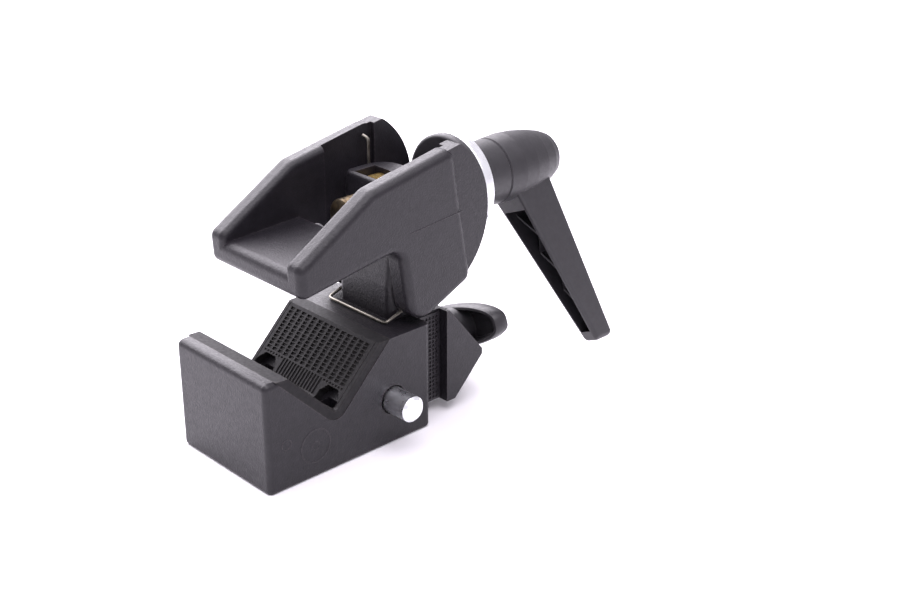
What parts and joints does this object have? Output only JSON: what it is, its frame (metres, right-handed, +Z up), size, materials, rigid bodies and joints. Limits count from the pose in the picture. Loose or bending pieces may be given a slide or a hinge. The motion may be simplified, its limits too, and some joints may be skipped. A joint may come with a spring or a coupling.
{
  "type": "super clamp",
  "caption": "Cast screw clamp with a V-seat lower jaw, a rocking upper jaw, a ratchet lever and a hexagonal stud socket with two locks.",
  "frame": {"origin": "axis of the hexagonal stud socket at the lower jaw's base plane", "axes": "+Z up out of the base, +Y from the jaws' mouth to the lever, +X to the lock button's side"},
  "size_m": [0.0562, 0.1487, 0.0932],
  "materials": {
    "cast_black": "matt black powder coat over a grainy casting",
    "pad_black": "matt moulded plastic",
    "moulded_black": "satin glass-filled plastic",
    "brass": "turned",
    "steel": "turned",
    "zinc": "bright zinc plate",
    "spring_steel": "drawn wire"
  },
  "bodies": {
    "lower_jaw": {"lower_jaw_body": "cast_black", "lower_jaw_pad": "pad_black", "screw_nut": "brass", "button_stop_pin": "steel", "knob_bush": "brass", "jaw_spring": "spring_steel", "lock_button_spring": "spring_steel"},
    "upper_jaw": {"upper_jaw": "cast_black", "upper_jaw_pad": "pad_black", "pivot_pin": "steel"},
    "thrust_washers": {"thrust_disc": "moulded_black", "thrust_washer": "zinc"},
    "clamp_screw": {"clamp_screw": "steel", "lever_retaining_screw": "steel", "lever_spring": "spring_steel"},
    "lever": {"lever_handle": "moulded_black", "lever_cap": "moulded_black"},
    "lock_button": {"lock_button_pin": "zinc"},
    "stud_pad": {"stud_pressure_pad": "steel"},
    "wing_knob": {"wing_knob_screw": "steel", "wing_knob": "moulded_black"}
  },
  "joints": [
    {"name": "screw_slide", "type": "slide", "parent": "lower_jaw", "child": "thrust_washers", "axis": [0, -1, 0], "range_m": [-0.01267, 0.01267]},
    {"name": "handle_spin", "type": "hinge", "parent": "thrust_washers", "child": "clamp_screw", "pos_m": [0, 0.0391, 0.071], "axis": [0, -1, 0], "range_deg": [-2288.8, 2288.8], "deforming": ["jaw_spring"]},
    {"name": "lever_lift", "type": "slide", "parent": "clamp_screw", "child": "lever", "axis": [0, 1, 0], "range_m": [0, 0.004], "stiffness_N_per_m": 900, "springref_m": -0.003, "deforming": ["lever_spring"]},
    {"name": "jaw_pivot", "type": "hinge", "parent": "lower_jaw", "child": "upper_jaw", "pos_m": [0, 0.0045, 0.047], "axis": [1, 0, 0], "range_deg": [-33.5, 33.5], "deforming": ["jaw_spring"]},
    {"name": "button_press", "type": "slide", "parent": "lower_jaw", "child": "lock_button", "axis": [-1, 0, 0], "range_m": [0, 0.0078], "stiffness_N_per_m": 600, "springref_m": -0.004, "deforming": ["lock_button_spring"]},
    {"name": "stud_pad_slide", "type": "slide", "parent": "lower_jaw", "child": "stud_pad", "axis": [0, -1, 0], "range_m": [0, 0.0034]},
    {"name": "knob_spin", "type": "hinge", "parent": "stud_pad", "child": "wing_knob", "pos_m": [0, 0.0395, 0.0175], "axis": [0, -1, 0], "range_deg": [-8, 987.2]}
  ],
  "couplings": [
    {"joint": "handle_spin", "follows": "screw_slide", "rad_per_m": 3141.6},
    {"joint": "jaw_pivot", "follows": "screw_slide", "rad_per_m": 45.455},
    {"joint": "knob_spin", "follows": "stud_pad_slide", "rad_per_m": 5026.5}
  ]
}
